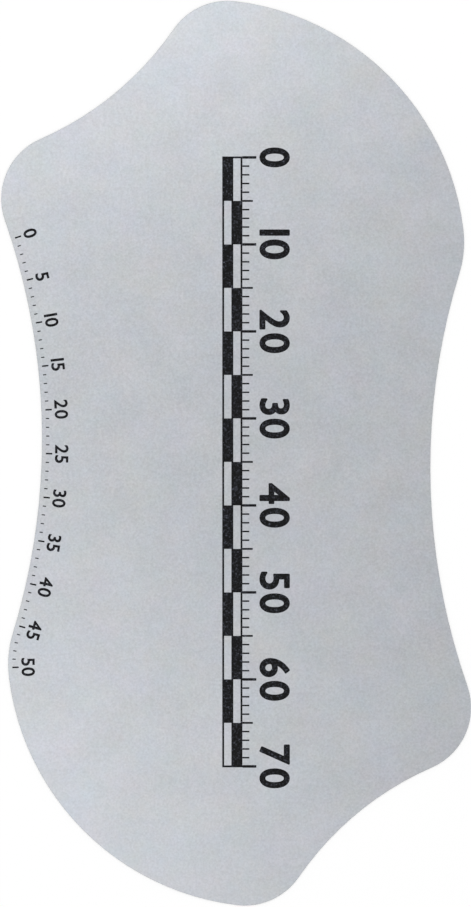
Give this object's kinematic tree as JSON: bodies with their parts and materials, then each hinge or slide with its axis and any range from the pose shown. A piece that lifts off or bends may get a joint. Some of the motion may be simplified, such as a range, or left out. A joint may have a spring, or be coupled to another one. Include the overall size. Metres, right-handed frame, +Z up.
{
  "type": "metal pry card",
  "caption": "Thin flexible steel pry card for opening glued or clipped housings, with rounded tips and side corners, hollow edges between them and broad bulging backs.",
  "frame": {"origin": "middle of the underside, the face that the card lies on; the card is the same after half a turn about Z through it", "axes": "+Z up, square to the sheet; +Y along the card towards the tip that lies on the -X side of the long centre line; +X across the card"},
  "size_m": [0.054, 0.104, 0.0001],
  "materials": {
    "satin_steel": "fine matt, evenly blasted stainless sheet, a little darker along its cut edge",
    "black_marking": "flat black surface marking, for the printed scales on the upper face only"
  },
  "bodies": {
    "root": {"pry_card": "satin_steel"}
  },
  "joints": []
}
